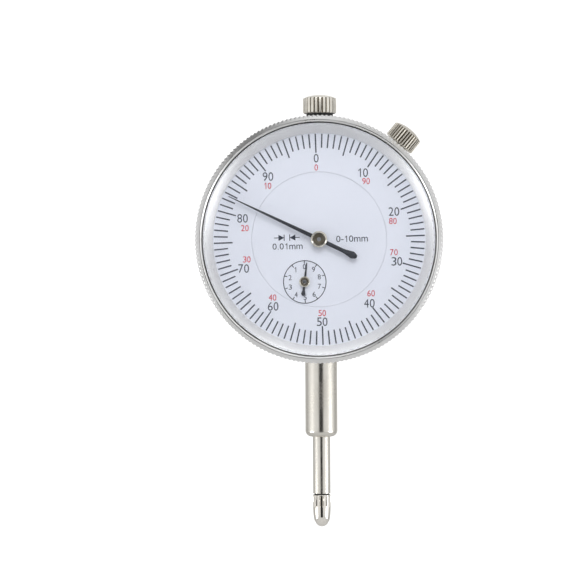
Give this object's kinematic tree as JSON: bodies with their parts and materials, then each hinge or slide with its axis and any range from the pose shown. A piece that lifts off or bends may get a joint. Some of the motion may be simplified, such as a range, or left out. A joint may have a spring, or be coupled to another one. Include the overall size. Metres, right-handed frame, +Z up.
{
  "type": "dial indicator",
  "caption": "Plunger dial indicator with a turning bezel, turn counter, clamping stem, lifting cap, bezel clamp and lug back.",
  "frame": {"origin": "on the stem's axis, half way along the plain length that a clamp grips", "axes": "+Z up along the spindle towards the lifting cap, -Y the way the dial faces, +X to the dial's right"},
  "size_m": [0.0606, 0.0367, 0.1073],
  "materials": {
    "satin_nickel": "satin nickel plate over brass and steel",
    "bright_chrome": "bright chrome plate, knurled rim",
    "case_metal": "satin chrome plate",
    "flange_metal": "fine turned, bright anodised",
    "dial_white": "matt white dial paint with printed black and red marks",
    "clear_crystal": "clear moulded lens",
    "pointer_black": "satin black paint",
    "hub_bronze": "dark bronze with a polished bevel",
    "brass": "machined",
    "tool_steel": "ground",
    "spring_steel": "blued wire and strip",
    "screw_steel": "nickel plated, slotted",
    "blackened_steel": "black oxide, oiled"
  },
  "bodies": {
    "case": {"case_body": "case_metal", "stem": "satin_nickel", "lower_bushing": "brass", "upper_bushing": "blackened_steel", "back_cover": "case_metal", "back_cover_screws": "screw_steel", "back_lug": "case_metal", "lug_screws": "screw_steel", "inner_dial": "dial_white", "main_plate": "brass", "main_plate_screws": "screw_steel", "bridge_plate": "brass", "plate_pillars": "brass", "bridge_screws": "screw_steel", "pillar_screws": "screw_steel", "arbor_bushes": "brass", "pinion_cock": "brass", "cock_screws": "screw_steel", "guide_rail": "tool_steel", "guide_rail_screws": "screw_steel", "spring_post": "tool_steel", "return_spring": "spring_steel", "hairspring": "spring_steel", "hairspring_stud": "brass"},
    "bezel": {"bezel_ring": "bright_chrome", "crystal": "clear_crystal", "dial_flange_ring": "flange_metal", "outer_dial": "dial_white", "bezel_wire": "spring_steel"},
    "clamp_slide": {"clamp_pad": "brass"},
    "clamp_knob": {"clamp_screw": "satin_nickel"},
    "plunger": {"spindle": "satin_nickel", "stop_cap": "satin_nickel", "guide_pin": "tool_steel", "contact_holder": "satin_nickel", "contact_ball": "tool_steel"},
    "counter_arbor": {"rack_pinion_arbor": "tool_steel", "transfer_gear": "brass", "small_pointer": "pointer_black", "small_pointer_hub": "hub_bronze"},
    "pointer_arbor": {"centre_arbor": "tool_steel", "main_pointer": "pointer_black", "main_pointer_hub": "hub_bronze"},
    "takeup": {"takeup_arbor": "tool_steel", "takeup_gear": "brass", "hairspring_collet": "brass"}
  },
  "joints": [
    {"name": "spindle_slide", "type": "slide", "parent": "case", "child": "plunger", "axis": [0, 0, 1], "range_m": [0, 0.0104], "stiffness_N_per_m": 60, "springref_m": -0.0083, "deforming": ["return_spring"]},
    {"name": "counter_turn", "type": "hinge", "parent": "case", "child": "counter_arbor", "pos_m": [-0.0036, 0, 0.02812], "axis": [0, -1, 0], "range_deg": [0, 374.5]},
    {"name": "pointer_turn", "type": "hinge", "parent": "case", "child": "pointer_arbor", "pos_m": [0, 0, 0.03845], "axis": [0, -1, 0], "range_deg": [-3745, 0]},
    {"name": "takeup_turn", "type": "hinge", "parent": "case", "child": "takeup", "pos_m": [0.0036, 0, 0.04878], "axis": [0, -1, 0], "range_deg": [0, 374.5]},
    {"name": "bezel_turn", "type": "hinge", "parent": "case", "child": "bezel", "pos_m": [0, 0, 0.03845], "axis": [0, -1, 0], "continuous": true},
    {"name": "clamp_travel", "type": "slide", "parent": "bezel", "child": "clamp_slide", "axis": [0.6428, 0, 0.766], "range_m": [0, 0.0009]},
    {"name": "clamp_turn", "type": "hinge", "parent": "clamp_slide", "child": "clamp_knob", "pos_m": [0.01954, -0.0084, 0.06174], "axis": [0.6428, 0, 0.766], "range_deg": [0, 720]}
  ],
  "couplings": [
    {"joint": "counter_turn", "follows": "spindle_slide", "rad_per_m": 628.32},
    {"joint": "takeup_turn", "follows": "spindle_slide", "rad_per_m": 628.32},
    {"joint": "pointer_turn", "follows": "spindle_slide", "rad_per_m": -6283.2},
    {"joint": "clamp_turn", "follows": "clamp_travel", "rad_per_m": 13963}
  ]
}
